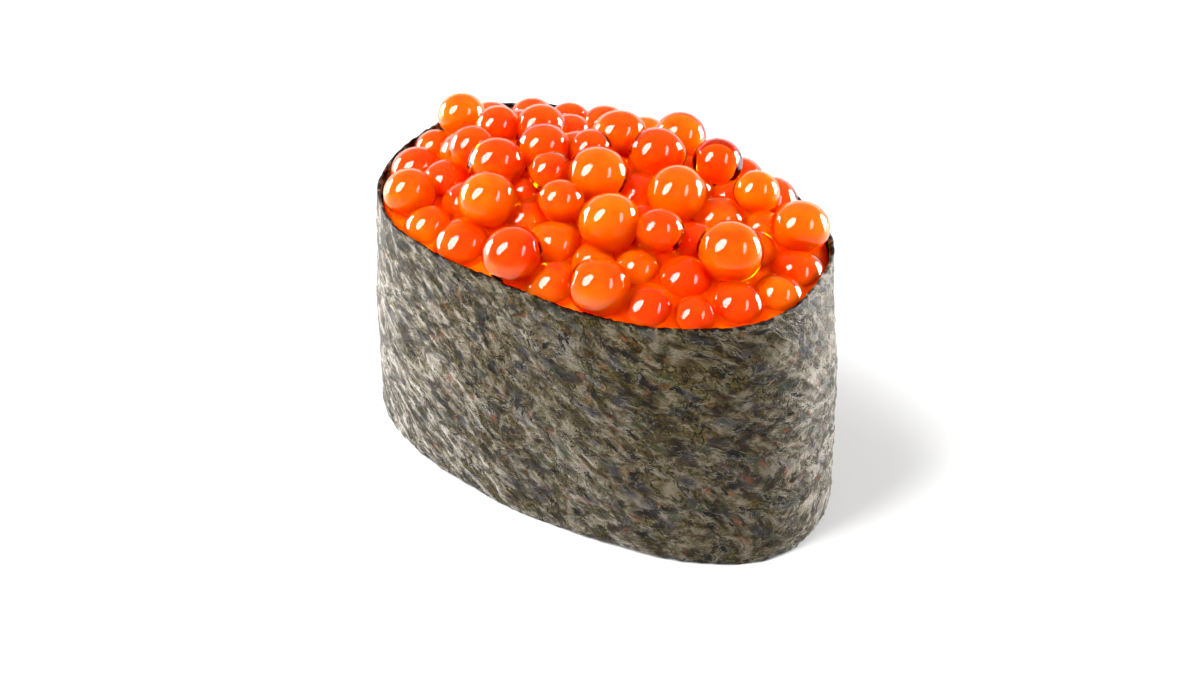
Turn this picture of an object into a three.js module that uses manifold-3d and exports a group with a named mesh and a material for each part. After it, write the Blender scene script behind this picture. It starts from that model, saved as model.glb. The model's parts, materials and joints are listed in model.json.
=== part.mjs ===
// Gunkan sushi: an oval bed of rice, a band of nori stood up round it, and a low heap of
// salmon roe that fills the band's top and rises over its rim.
// Millimetres, +Z up, the foot of the band on z = 0 and the oval's centre at the origin.
// +X runs along the oval and -Y is the side that faces forward.

import * as THREE from "three";
import { mergeVertices } from "three/addons/utils/BufferGeometryUtils.js";
import Module from "manifold-3d";

// ---- driving dimensions ----

// The oval at the band's rim, and how it is pressed out of true.
const rimHalfLength = 26;
const rimHalfWidth = 18;
const ovalPower = 2.4; // 2 is an ellipse, more is squarer
const taper = -0.09; // the +X end is narrower by this share, the -X end wider
const skew = -0.085; // X shifts by this share of Y

// The band of nori.
const bandHeight = 30.3;
const footLengthGain = 0.105; // the foot is longer than the rim by this share
const footWidthGain = -0.035; // and narrower
const bulge = 0.4; // the wall swells this much at mid height
const sheetThickness = 0.4;
const rimWave = 0.25; // rise and fall of the cut top edge
const rimDip = 1.3; // how far the top edge sinks at the back of the -X end
const rimDipAngle = THREE.MathUtils.degToRad(115);
const footWave = 0.2; // rise and fall of the cut bottom edge
const lapStart = THREE.MathUtils.degToRad(72); // the strip's end laps over its start
const lapEnd = THREE.MathUtils.degToRad(108);
const bandSides = 80;
const bandRows = 5;
const coreSides = 48; // of the rice and the heap's core

// Space kept between two pieces that lie against each other.
const clearance = 0.3;

// The bed of rice.
const riceTop = 20;
const riceEdgeRound = 1.2;

// The heap of roe.
const eggCount = 73;
const eggRadius = 2.9;
const eggSpread = 0.18; // share by which an egg is larger or smaller
const eggFlattening = 0.92; // height of an egg as a share of its width
const eggSeed = 1680;
const pressing = 0.91; // neighbours sink into each other to this share of their radii
const heapEdge = -1.6; // lowest egg centres at the wall, from the rim
const heapRise = 2.6; // how much higher they are in the middle
const domePower = 2.2; // how late the dome falls away towards the wall
const heapDepth = 3; // from the lowest to the highest egg centres
const coreCover = 1.4; // the heap's core covers the lowest egg centres by this much
const domeRings = [1, 0.85, 0.6, 0.3]; // the core's rings from the wall inwards
const settleRounds = 120;
const proudCentre = 0.9; // eggs whose centres are this far over the rim get finer faces

const noriColour = 0x4f4a3a;
const riceColour = 0xf2efe6;
const roeColour = 0xff5a08;

// ---- the oval ----

// A point of the oval's outer face at an angle and a height, moved in by inset square to the face.
function ovalPoint(angle, height, inset = 0) {
  const up = 1 - height / bandHeight;
  const a = rimHalfLength * (1 + footLengthGain * up);
  const b = rimHalfWidth * (1 + footWidthGain * up);
  const at = (t) => {
    const reach =
      (Math.abs(Math.cos(t) / a) ** ovalPower +
        Math.abs(Math.sin(t) / b) ** ovalPower) **
      (-1 / ovalPower);
    return pressed(reach * Math.cos(t), reach * Math.sin(t));
  };
  const step = 1e-3;
  const tangent = at(angle + step).sub(at(angle - step)).normalize();
  const out = bulge * Math.sin(Math.PI * (1 - up)) - inset;
  return at(angle).add(new THREE.Vector2(tangent.y, -tangent.x).multiplyScalar(out));
}

// A true oval's point after the oval is tapered and skewed.
function pressed(x, y) {
  const py = y * (1 + (taper * x) / rimHalfLength);
  return new THREE.Vector2(x + skew * py, py);
}

// A ring of points round the oval; inset and height may each depend on the angle.
function ovalRing(inset, height, sides = bandSides) {
  return Array.from({ length: sides }, (_, i) => {
    const angle = (2 * Math.PI * i) / sides;
    const z = typeof height === "function" ? height(angle) : height;
    const d = typeof inset === "function" ? inset(angle) : inset;
    const p = ovalPoint(angle, Math.min(z, bandHeight), d);
    return new THREE.Vector3(p.x, p.y, z);
  });
}

// ---- closed surfaces ----

// The surface through a list of rings with as many points each, going anticlockwise. It is
// closed onto its first ring if looped, else by a fan to the middle of each end ring.
function ringSurface(rings, looped) {
  const sides = rings[0].length;
  const points = rings.flat();
  const faces = [];
  const rows = looped ? rings.length : rings.length - 1;
  for (let r = 0; r < rows; r++) {
    const low = r * sides;
    const high = ((r + 1) % rings.length) * sides;
    for (let i = 0; i < sides; i++) {
      const j = (i + 1) % sides;
      faces.push(low + i, low + j, high + j, low + i, high + j, high + i);
    }
  }
  if (!looped) {
    const ends = [rings[0], rings[rings.length - 1]];
    ends.forEach((ring, end) => {
      const middle = new THREE.Vector3();
      ring.forEach((p) => middle.addScaledVector(p, 1 / sides));
      const first = end ? (rings.length - 1) * sides : 0;
      for (let i = 0; i < sides; i++) {
        const pair = [first + i, first + ((i + 1) % sides)];
        if (!end) pair.reverse();
        faces.push(points.length, ...pair);
      }
      points.push(middle);
    });
  }
  return new THREE.BufferGeometry().setFromPoints(points).setIndex(faces);
}

// ---- nori ----

// Heights of the band's cut edges, which wander as a hand-cut strip does.
function rimHeight(angle) {
  const dip = Math.max(Math.cos(angle - rimDipAngle), 0) ** 4;
  return bandHeight + rimWave * Math.sin(3 * angle + 1) - rimDip * dip;
}

function footHeight(angle) {
  return (footWave / 2) * (1 + Math.sin(5 * angle));
}

// Extra thickness where the strip's end lies over its start: it climbs gently, stays one sheet
// thick and stops at the cut end.
function lap(angle) {
  const along = (angle - lapStart) / (lapEnd - lapStart);
  if (along < 0 || along > 1) return 0;
  return sheetThickness * THREE.MathUtils.smoothstep(along, 0, 0.3);
}

function noriBand() {
  const wall = (inset, share) =>
    ovalRing(inset, (angle) =>
      THREE.MathUtils.lerp(footHeight(angle), rimHeight(angle), share),
    );
  const shares = Array.from({ length: bandRows + 1 }, (_, i) => i / bandRows);
  const outside = shares.map((share) => wall((angle) => -lap(angle), share));
  const inside = shares.map((share) => wall(sheetThickness, share));
  return ringSurface([...outside, ...inside.reverse()], true);
}

// ---- rice ----

// A pressed block with a flat base, rounded at both edges.
function riceBed() {
  const inset = sheetThickness + clearance;
  const corner = 0.3 * riceEdgeRound;
  const rings = [
    ovalRing(inset + riceEdgeRound, 0, coreSides),
    ovalRing(inset + corner, corner, coreSides),
    ovalRing(inset, riceEdgeRound, coreSides),
    ovalRing(inset, riceTop - riceEdgeRound, coreSides),
    ovalRing(inset + riceEdgeRound, riceTop, coreSides),
  ];
  return ringSurface(rings, false);
}

// ---- roe ----

// A steady stream of numbers from 0 to 1, the same on every run.
function* draws(seed) {
  let state = seed;
  while (true) {
    state = (state * 1664525 + 1013904223) % 4294967296;
    yield state / 4294967296;
  }
}

// How far out a point of the true oval is: 0 in the middle, 1 on the oval drawn in by inset.
function outness(x, y, inset) {
  return (
    (Math.abs(x / (rimHalfLength - inset)) ** ovalPower +
      Math.abs(y / (rimHalfWidth - inset)) ** ovalPower) **
    (1 / ovalPower)
  );
}

// Height of the lowest egg centres: a low dome over the oval.
function heapFloor(x, y) {
  const out = Math.min(outness(x, y, sheetThickness), 1);
  return bandHeight + heapEdge + heapRise * (1 - out ** domePower);
}

// The eggs' centres and radii. They start on a sunflower spiral with a little scatter, then
// push apart from their neighbours, sink, and are kept over the heap's floor and off the wall.
function settledEggs() {
  const stream = draws(eggSeed);
  const draw = () => stream.next().value;
  const goldenAngle = Math.PI * (3 - Math.sqrt(5));
  const scatter = 2;
  const wallRoom = 4;
  const shove = 0.25;
  const sink = 0.06;
  const eggs = Array.from({ length: eggCount }, (_, i) => {
    const [size, dx, dy, lift] = [draw(), draw(), draw(), draw()];
    const out = Math.sqrt((i + 0.5) / eggCount);
    const x = (rimHalfLength - wallRoom) * out * Math.cos(i * goldenAngle) + scatter * (dx - 0.5);
    const y = (rimHalfWidth - wallRoom) * out * Math.sin(i * goldenAngle) + scatter * (dy - 0.5);
    const r = eggRadius * (1 + eggSpread * (2 * size - 1));
    return { at: new THREE.Vector3(x, y, heapFloor(x, y) + heapDepth * lift), r };
  });
  for (let round = 0; round < settleRounds; round++) {
    const moves = eggs.map((egg) => {
      const move = new THREE.Vector3(0, 0, -sink);
      for (const other of eggs) {
        if (other === egg) continue;
        const apart = egg.at.clone().sub(other.at);
        const overlap = pressing * (egg.r + other.r) - apart.length();
        if (overlap > 0) move.addScaledVector(apart.normalize(), shove * overlap);
      }
      return move;
    });
    eggs.forEach((egg, i) => {
      const p = egg.at.add(moves[i]);
      const floor = heapFloor(p.x, p.y);
      p.z = THREE.MathUtils.clamp(p.z, floor, floor + heapDepth);
      const above = Math.max(p.z - bandHeight, 0);
      const reach = Math.max(Math.sqrt(Math.max(egg.r ** 2 - above ** 2, 0)), 0.6 * egg.r);
      const out = Math.max(outness(p.x, p.y, reach + sheetThickness), 1);
      p.x /= out;
      p.y /= out;
    });
  }
  for (const egg of eggs) {
    const p = pressed(egg.at.x, egg.at.y);
    egg.at.set(p.x, p.y, egg.at.z);
  }
  return eggs;
}

// An egg as a ball of few faces, a little lower than it is wide.
function eggShape(egg, detail) {
  return new THREE.IcosahedronGeometry(egg.r, detail)
    .scale(1, 1, eggFlattening)
    .translate(egg.at.x, egg.at.y, egg.at.z);
}

// The heap under the eggs: a block that stands over the rice and ends in a low dome, which
// the lowest eggs only just break through.
function heapCore() {
  const inset = sheetThickness + clearance;
  const dome = domeRings.map((out) => {
    const height = bandHeight + heapEdge + coreCover + heapRise * (1 - out ** domePower);
    const scale = new THREE.Vector3(out, out, 1);
    return ovalRing(inset, height, coreSides).map((p) => p.multiply(scale));
  });
  return ringSurface([ovalRing(inset, riceTop + clearance, coreSides), ...dome], false);
}

// The room that the roe may fill: the inside of the band, opening out above its rim.
function roeRoom() {
  const inset = sheetThickness + clearance;
  const high = bandHeight + 4 * eggRadius;
  const rings = [
    ovalRing(inset, riceTop + clearance),
    ovalRing(inset, bandHeight + clearance + rimWave),
    ovalRing(-eggRadius, bandHeight + clearance + rimWave),
    ovalRing(-eggRadius, high),
  ];
  return ringSurface(rings, false);
}

// A closed geometry as a solid that can be joined and cut.
const manifoldModule = await Module();
manifoldModule.setup();

function solid(geometry) {
  geometry.deleteAttribute("normal");
  geometry.deleteAttribute("uv");
  const merged = mergeVertices(geometry, 1e-4);
  return new manifoldModule.Manifold(
    new manifoldModule.Mesh({
      numProp: 3,
      vertProperties: merged.getAttribute("position").array,
      triVerts: new Uint32Array(merged.getIndex().array),
    }),
  );
}

function geometryOf(made) {
  const mesh = made.getMesh();
  return new THREE.BufferGeometry()
    .setAttribute("position", new THREE.BufferAttribute(mesh.vertProperties, 3))
    .setIndex(new THREE.BufferAttribute(mesh.triVerts, 1));
}

// The heap: its core with every egg joined on, cut back to the room inside the band.
function roeHeap() {
  let heap = solid(heapCore());
  for (const egg of settledEggs()) {
    const detail = egg.at.z > bandHeight + proudCentre ? 2 : 1;
    heap = heap.add(solid(eggShape(egg, detail)));
  }
  // The largest shell alone: it fills the small hollows sealed between eggs.
  const shells = heap.intersect(solid(roeRoom())).decompose();
  return geometryOf(shells.reduce((a, b) => (a.volume() > b.volume() ? a : b)));
}

// ---- the sushi ----

function piece(name, geometry, color, roughness) {
  const mesh = new THREE.Mesh(
    geometry,
    new THREE.MeshStandardMaterial({ color, roughness, metalness: 0 }),
  );
  mesh.name = name;
  return mesh;
}

const gunkan = new THREE.Group();
gunkan.add(
  piece("nori", noriBand(), noriColour, 0.55),
  piece("rice", riceBed(), riceColour, 0.6),
  piece("roe", roeHeap(), roeColour, 0.1),
);

export default gunkan;
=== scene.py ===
"""Gunkan sushi: salmon roe heaped over pressed rice inside a stood-up band of nori.

Metres, +Z up, the foot of the band on z = 0. +X runs along the oval, -Y faces forward.
"""

import json
import math

import bpy
import numpy as np
from mathutils import Matrix, Vector

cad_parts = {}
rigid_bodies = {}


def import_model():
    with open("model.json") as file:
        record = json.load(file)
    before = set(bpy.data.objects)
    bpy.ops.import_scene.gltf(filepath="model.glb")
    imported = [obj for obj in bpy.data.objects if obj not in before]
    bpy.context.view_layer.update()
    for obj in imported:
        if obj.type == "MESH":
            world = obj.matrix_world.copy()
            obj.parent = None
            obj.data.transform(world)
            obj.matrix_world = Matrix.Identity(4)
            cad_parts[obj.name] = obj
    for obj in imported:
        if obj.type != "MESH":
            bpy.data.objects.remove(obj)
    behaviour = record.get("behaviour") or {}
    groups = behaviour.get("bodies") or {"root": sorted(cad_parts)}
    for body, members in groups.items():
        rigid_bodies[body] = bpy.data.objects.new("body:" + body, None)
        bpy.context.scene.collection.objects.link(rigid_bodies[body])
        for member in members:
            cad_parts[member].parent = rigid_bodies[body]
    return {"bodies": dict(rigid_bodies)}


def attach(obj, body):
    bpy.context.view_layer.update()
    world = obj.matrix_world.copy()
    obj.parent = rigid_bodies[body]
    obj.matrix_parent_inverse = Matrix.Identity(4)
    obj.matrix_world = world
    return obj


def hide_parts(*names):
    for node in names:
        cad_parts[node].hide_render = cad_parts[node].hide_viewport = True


bl_info = {
    "name": "Gunkan Sushi",
    "version": (1, 0, 0),
    "blender": (4, 5, 0),
    "location": "3D View > Sidebar > Gunkan",
    "description": "Makes gunkan sushi with salmon roe, its lights, floor and camera",
    "category": "Add Mesh",
}

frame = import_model()

MM = 0.001
CM = 10 * MM
TAU = 2 * math.pi
# nothing moves, so the frame has one body
(BODY,) = frame["bodies"]


# ---- settings ----


def length(name, default, description):
    """A length setting in metres."""
    return bpy.props.FloatProperty(
        name=name, description=description, default=default, unit="LENGTH", precision=5
    )


def share(name, default, description):
    """A setting without a unit."""
    return bpy.props.FloatProperty(
        name=name, description=description, default=default, min=-1.0, max=10.0
    )


def number(name, default, description, low=1):
    """A whole number."""
    return bpy.props.IntProperty(name=name, description=description, default=default, min=low)


def watts(name, default, description):
    """The power of a light."""
    return bpy.props.FloatProperty(
        name=name, description=description, default=default, min=0.0, unit="POWER"
    )


def angle(name, degrees, description):
    """An angle setting, given in degrees and kept in radians."""
    return bpy.props.FloatProperty(
        name=name, description=description, default=math.radians(degrees), subtype="ANGLE"
    )


def colour(name, default, description):
    """A colour setting: linear red, green and blue."""
    return bpy.props.FloatVectorProperty(
        name=name, description=description, default=default, size=3,
        subtype="COLOR", min=0.0, max=1.0,
    )


class OvalSettings(bpy.types.PropertyGroup):
    """The oval that the band stands on and how it is pressed out of true."""

    rim_half_length: length("Rim half length", 26.0 * MM, "Half the oval's length at the rim")
    rim_half_width: length("Rim half width", 18.0 * MM, "Half the oval's width at the rim")
    power: share("Squareness", 2.4, "2 is an ellipse, more is squarer")
    taper: share("Taper", -0.09, "Share by which the +X end is wider")
    skew: share("Skew", -0.085, "Shift of X for each unit of Y")
    foot_length_gain: share("Foot length gain", 0.105, "Share by which the foot is longer")
    foot_width_gain: share("Foot width gain", -0.035, "Share by which the foot is wider")
    bulge: length("Bulge", 0.4 * MM, "Swelling of the wall at mid height")


class NoriSettings(bpy.types.PropertyGroup):
    """The band of nori."""

    band_height: length("Band height", 30.3 * MM, "Height of the strip")
    sheet_thickness: length("Sheet thickness", 0.4 * MM, "Thickness of the strip")
    rim_wave: length("Rim wave", 0.25 * MM, "Rise and fall of the top edge")
    rim_dip: length("Rim dip", 1.3 * MM, "How far the top edge sinks at the back")
    rim_dip_angle: angle("Rim dip angle", 115, "Where round the oval it sinks")
    foot_wave: length("Foot wave", 0.2 * MM, "Rise and fall of the bottom edge")
    lap_start: angle("Lap start", 72, "Where the strip's end climbs over its start")
    lap_end: angle("Lap end", 108, "Where the strip's end is cut")
    dent: length("Dents", 0.2 * MM, "Depth of the soft dents in the wall")
    wrinkle: length("Wrinkles", 0.11 * MM, "Height of the fine wrinkles")
    fray: length("Fray", 0.13 * MM, "Roughness of the cut edges")
    columns: number("Columns", 660, "Grid columns round the band", 24)
    rows: number("Rows", 104, "Grid rows up the outside", 8)
    comb: angle("Comb", 26, "Slope of the fibres down along the strip")
    grit: length("Grit", 0.11 * MM, "Height of the crumbs")
    fuzz: colour("Fuzz", (1.0, 0.96, 0.90), "Colour of the silvery sheen")
    leaf_dark: colour("Dark leaf", (0.011, 0.006, 0.0015), "Between the crumbs")
    leaf_mid: colour("Leaf", (0.056, 0.039, 0.011), "Most of the sheet")
    leaf_light: colour("Light leaf", (0.12, 0.096, 0.062), "Thin dry leaf")
    leaf_pale: colour("Pale leaf", (0.25, 0.21, 0.15), "Dry fibres")
    leaf_green: colour("Green leaf", (0.027, 0.038, 0.009), "Green crumbs")
    leaf_blue: colour("Blue leaf", (0.022, 0.021, 0.026), "Grey and purple crumbs")
    leaf_brown: colour("Brown leaf", (0.15, 0.042, 0.008), "Rusty crumbs")
    leaf_ochre: colour("Ochre leaf", (0.10, 0.07, 0.008), "Thin leaf at the cracks")
    # also the colour of the painted shade along the band's top and bottom edges
    crack_and_edge_shade: colour("Cracks", (0.002, 0.0015, 0.001), "Slits in the sheet")


class RiceSettings(bpy.types.PropertyGroup):
    """The bed of rice."""

    top: length("Top", 20.0 * MM, "Height of the bed")
    edge_round: length("Edge rounding", 1.2 * MM, "Rounding of the bed's edges")
    clearance: length("Clearance", 0.3 * MM, "Gap between the bed and the band")
    core_in: length("Core inset", 0.8 * MM, "How far the core's foot stands in from the grains")
    core_up: length("Core rise", 1.1 * MM, "How far the core's foot stands up in the grains")
    spacing: length("Grain spacing", 3.1 * MM, "Between the grains of the foot")
    grain_length: length("Grain length", 6.0 * MM, "A boiled grain's length")
    grain_width: length("Grain width", 3.0 * MM, "A boiled grain's width")
    grain_height: length("Grain height", 2.5 * MM, "A boiled grain's height")
    white: colour("White rice", (0.86, 0.83, 0.75), "The whitest grains")
    dull: colour("Dull rice", (0.70, 0.66, 0.55), "The dullest grains")


class RoeSettings(bpy.types.PropertyGroup):
    """The heap of roe."""

    count: number("Eggs", 73, "Eggs in the heap")
    seed: number("Seed", 1680, "Of the eggs' scatter")
    radius: length("Egg radius", 2.9 * MM, "Half an egg's width")
    spread: share("Spread", 0.18, "Share by which an egg is larger or smaller")
    flattening: share("Flattening", 0.92, "Height of an egg as a share of its width")
    pressing: share("Pressing", 0.91, "How far neighbours sink into each other")
    edge: length("Edge height", -1.6 * MM, "Lowest centres at the wall, from the rim")
    rise: length("Rise", 2.6 * MM, "How much higher they are in the middle")
    depth: length("Depth", 3.0 * MM, "From the lowest to the highest centres")
    dome_power: share("Dome power", 2.2, "How late the dome falls away towards the wall")
    core_cover: length("Core cover", 0.4 * MM, "How far the core covers the lowest centres")
    under_count: number("Under eggs", 64, "Eggs in the layer below")
    unevenness: share("Unevenness", 0.035, "How far an egg is from round")
    yolk_small: share("Smallest yolk", 0.67, "Width of the yolk in its egg")
    yolk_large: share("Largest yolk", 0.79, "Width of the yolk in its egg")
    clear_part: share("Clear eggs", 0.04, "Share of the eggs with a smaller yolk")
    clear_from: length("Clear side", 8.0 * MM, "They are common from this Y to the back")
    skin: colour("Skin", (1.0, 0.88, 0.6), "Light that crosses an egg's skin")
    shell: colour("Shell", (0.999, 0.87, 0.06), "Colour of the light that crosses an egg")
    yolk_red: colour("Red yolk", (1.0, 0.075, 0.0), "The darkest yolks")
    yolk_orange: colour("Orange yolk", (1.0, 0.2, 0.003), "The lightest yolks")
    bed: colour("Bed", (1.0, 0.12, 0.0), "Colour of the roe further down")


class StageSettings(bpy.types.PropertyGroup):
    """Floor, lights and camera."""

    azimuth: angle("Azimuth", 35.4, "Of the camera, from the -Y side towards +X")
    elevation: angle("Elevation", 36.0, "Of the camera above the floor")
    distance: length("Distance", 187.0 * MM, "From the camera to the middle of the band")
    focal: bpy.props.FloatProperty(
        name="Focal length", description="In millimetres on a 36 mm sensor", default=50.5
    )
    aim_right: length("Aim right", -0.37 * MM, "Shift of the aim in the picture")
    aim_up: length("Aim up", -1.74 * MM, "Shift of the aim in the picture")
    backdrop: share("Backdrop", 1.9, "Brightness of the surround low down behind")
    front: share("Front", 0.35, "Brightness of the surround low down in front")
    ceiling: share("Ceiling", 0.35, "Brightness of the surround overhead")
    black_level: share("Black level", 0.008, "Light that is shown as black")
    light_distance: length("Light distance", 0.6, "From the rim to the softboxes")
    key: watts("Key", 8.4, "Of the large softbox at the front left")
    fill: watts("Fill", 1.5, "Of the narrow softbox at the front right")
    left_edge: watts("Left edge", 9.0, "Of the softbox behind on the left")
    right_edge: watts("Right edge", 15.0, "Of the softbox behind on the right")
    floor: colour("Floor", (0.62, 0.62, 0.62), "Pale floor")


SETTINGS = {
    "gunkan_oval": OvalSettings,
    "gunkan_nori": NoriSettings,
    "gunkan_rice": RiceSettings,
    "gunkan_roe": RoeSettings,
    "gunkan_stage": StageSettings,
}


# ---- the oval ----


def pressed(oval, x, y):
    """A true oval's point pressed out of true.

    y grows by its taper * x / half length, then x shifts by skew * y.
    """
    py = y * (1 + oval.taper * x / oval.rim_half_length)
    return x + oval.skew * py, py


def oval_point(oval, height_of_band, theta, height, inset=0.0):
    """A point of the band's outer face at an angle and a height, moved in by inset.

    The outline is a superellipse, |x/a|^n + |y/b|^n = 1, whose half sizes a and b change
    evenly from the foot to the rim. It is pressed out of true, then moved along its outward
    normal by bulge * sin(pi * height / band height) - inset.
    """
    up = 1 - np.minimum(height, height_of_band) / height_of_band
    a = oval.rim_half_length * (1 + oval.foot_length_gain * up)
    b = oval.rim_half_width * (1 + oval.foot_width_gain * up)

    def at(t):
        """The outline's point at an angle."""
        c, s = np.cos(t), np.sin(t)
        reach = (np.abs(c / a) ** oval.power + np.abs(s / b) ** oval.power) ** (-1 / oval.power)
        return pressed(oval, reach * c, reach * s)

    step = 1e-3
    (x1, y1), (x0, y0) = at(theta + step), at(theta - step)
    tx, ty = x1 - x0, y1 - y0
    out = (oval.bulge * np.sin(math.pi * (1 - up)) - inset) / np.hypot(tx, ty)
    x, y = at(theta)
    return x + ty * out, y - tx * out


def even_angles(oval, height_of_band, count, start):
    """Angles from start once round, evenly spaced by arc length along the rim, and that length."""
    fine = np.linspace(start, start + TAU, 4001)
    x, y = oval_point(oval, height_of_band, fine, height_of_band)
    run = np.concatenate([[0], np.cumsum(np.hypot(np.diff(x), np.diff(y)))])
    return np.interp(np.linspace(0, run[-1], count + 1)[:-1], run, fine), run[-1]


def reach_by_angle(x, y):
    """From a closed outline round the middle, a function that gives its reach towards any point."""
    angles = np.unwrap(np.arctan2(y, x))
    reaches = np.hypot(x, y)

    def reach(px, py):
        """How far out the outline is, on the line from the middle through a point."""
        turn = (np.arctan2(py, px) - angles[0]) % TAU + angles[0]
        return np.interp(turn, angles, reaches)

    return reach


# ---- helpers for meshes ----


def noise(rng, u, v, cell_u, cell_v, wrap_u):
    """Smooth noise from -1 to 1 that repeats every wrap_u along u.

    Random values on a lattice of cells cell_u by cell_v, blended between its points by the
    s-curve 3 t^2 - 2 t^3.
    """
    nu = max(int(round(wrap_u / cell_u)), 1)
    nv = int(np.ceil(v.max() / cell_v)) + 2
    lattice = rng.uniform(-1, 1, (nu, nv))
    gu, gv = u / wrap_u * nu, np.maximum(v, 0) / cell_v
    iu, iv = np.floor(gu).astype(int), np.floor(gv).astype(int)
    fu, fv = gu - iu, gv - iv
    fu, fv = fu * fu * (3 - 2 * fu), fv * fv * (3 - 2 * fv)
    iu, ju, jv = iu % nu, (iu + 1) % nu, iv + 1
    low = lattice[iu, iv] * (1 - fu) + lattice[ju, iv] * fu
    high = lattice[iu, jv] * (1 - fu) + lattice[ju, jv] * fu
    return low * (1 - fv) + high * fv


def mesh_object(name, points, faces, node, material):
    """A piece from arrays of points and faces, standing for a node and riding on the body.

    Its finish is the material that it is given.
    """
    mesh = bpy.data.meshes.new(name)
    mesh.from_pydata(points.reshape(-1, 3).tolist(), [], faces)
    mesh.update()
    mesh.shade_smooth()
    piece = bpy.data.objects.new(name, mesh)
    bpy.context.scene.collection.objects.link(piece)
    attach(piece, BODY)
    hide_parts(node)
    mesh.materials.append(material)
    return piece


def grid_faces(rows, columns, loop_rows=False, loop_columns=False):
    """The quads of a grid of points, row by row, closed round on itself where asked."""
    r = np.arange(rows if loop_rows else rows - 1)[:, None]
    c = np.arange(columns if loop_columns else columns - 1)[None]
    r1, c1 = (r + 1) % rows, (c + 1) % columns
    quads = np.stack([r * columns + c, r * columns + c1, r1 * columns + c1, r1 * columns + c], -1)
    return quads.reshape(-1, 4)


def fan(middle, ring):
    """Triangles from a point to the sides of a closed ring of points."""
    return np.stack([np.full(len(ring), middle), ring, np.roll(ring, -1)], 1)


def ring_block(name, rings, ends, node, material):
    """A closed block of rings from its foot to its top, with a middle point at either end."""
    columns = len(rings[0])
    points = np.concatenate([*rings, ends])
    foot, top = len(points) - 2, len(points) - 1
    ring = np.arange(columns)
    faces = grid_faces(len(rings), columns, loop_columns=True).tolist()
    faces += fan(foot, ring)[:, ::-1].tolist()
    faces += fan(top, ring + foot - columns).tolist()
    mesh_object(name, points, faces, node, material)


def ball_directions(columns, rows):
    """Unit vectors of a closed ball: its two poles and rings of columns between them."""
    lat = np.linspace(0, math.pi, rows + 2)[1:-1, None]
    lon = np.arange(columns)[None] * TAU / columns
    ring = np.stack(
        [np.sin(lat) * np.cos(lon), np.sin(lat) * np.sin(lon), np.cos(lat) + 0 * lon], -1
    ).reshape(-1, 3)
    return np.concatenate([ring, [[0, 0, 1], [0, 0, -1]]])


def ball_faces(columns, rows):
    """The quads and triangles of ball_directions, wound to face out."""
    quads = grid_faces(rows, columns, loop_columns=True)[:, ::-1]
    top, bottom = rows * columns, rows * columns + 1
    ring = np.arange(columns)
    caps = [fan(top, ring), fan(bottom, ring + top - columns)[:, ::-1]]
    return quads, np.concatenate(caps)


def joined_balls(name, points, columns, rows, tone, material, node):
    """One piece from many balls of the same grid, each with its own tone from 0 to 1.

    The tone is a point attribute, which the materials read.
    """
    quads, caps = ball_faces(columns, rows)
    size = points.shape[1]
    offsets = np.arange(len(points))[:, None, None] * size
    faces = (quads[None] + offsets).reshape(-1, 4).tolist()
    faces += (caps[None] + offsets).reshape(-1, 3).tolist()
    piece = mesh_object(name, points, faces, node, material)
    shade = piece.data.attributes.new("tone", "FLOAT", "POINT")
    shade.data.foreach_set("value", np.repeat(tone, size).astype(np.float32))


class Shader:
    """A material whose nodes are added and joined by name."""

    def __init__(self, name):
        self.material = bpy.data.materials.new(name)
        self.material.use_nodes = True
        self.tree = self.material.node_tree
        self.tree.nodes.clear()
        self.output = self.add("OutputMaterial")

    def add(self, kind, inputs=None, **values):
        """A node of a kind; inputs maps a socket's name or number to a value or a socket."""
        node = self.tree.nodes.new("ShaderNode" + kind)
        for key, value in values.items():
            setattr(node, key, value)
        for key, value in (inputs or {}).items():
            if isinstance(value, bpy.types.NodeSocket):
                self.tree.links.new(value, node.inputs[key])
            else:
                node.inputs[key].default_value = value
        return node

    def math(self, operation, a, b=0.0, clamp=False):
        """The result of a sum on two values or sockets."""
        return self.add("Math", {0: a, 1: b}, operation=operation, use_clamp=clamp).outputs[0]

    def ramp(self, value, low, high, to_low=0.0, to_high=1.0):
        """The value's range from low to high, spread smoothly over the new range."""
        node = self.add(
            "MapRange",
            {0: value, 1: low, 2: high, 3: to_low, 4: to_high},
            interpolation_type="SMOOTHSTEP",
        )
        return node.outputs[0]

    def mix(self, factor, a, b, blend="MIX"):
        """Two colours, given as colours or sockets, blended by a factor."""
        node = self.add("Mix", {0: factor}, data_type="RGBA", blend_type=blend)
        for socket, value in ((node.inputs[6], a), (node.inputs[7], b)):
            if isinstance(value, bpy.types.NodeSocket):
                self.tree.links.new(value, socket)
            else:
                socket.default_value = (*value, 1.0)
        return node.outputs[2]

    def surface(self, shader, volume=None):
        """The finished material."""
        self.tree.links.new(shader.outputs[0], self.output.inputs["Surface"])
        if volume:
            self.tree.links.new(volume.outputs[0], self.output.inputs["Volume"])
        return self.material


# ---- nori ----


def rim_height(nori, theta):
    """Band height, plus a slow wave, less a dip of cos^4 shape at the back."""
    dip = np.maximum(np.cos(theta - nori.rim_dip_angle), 0) ** 4
    return nori.band_height + nori.rim_wave * np.sin(3 * theta + 1) - nori.rim_dip * dip


def foot_height(nori, theta):
    """A slow wave that just touches the floor."""
    return nori.foot_wave / 2 * (1 + np.sin(5 * theta))


def lap(nori, theta):
    """Share of a sheet's thickness added where the strip's end lies over its start.

    It climbs by an s-curve, 3 t^2 - 2 t^3, over the first part of the lap.
    """
    climbing_part = 0.3
    along = ((theta - nori.lap_start) % TAU) / (nori.lap_end - nori.lap_start)
    climb = np.clip(along / climbing_part, 0, 1)
    return np.where(along <= 1, climb * climb * (3 - 2 * climb), 0.0)


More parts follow.
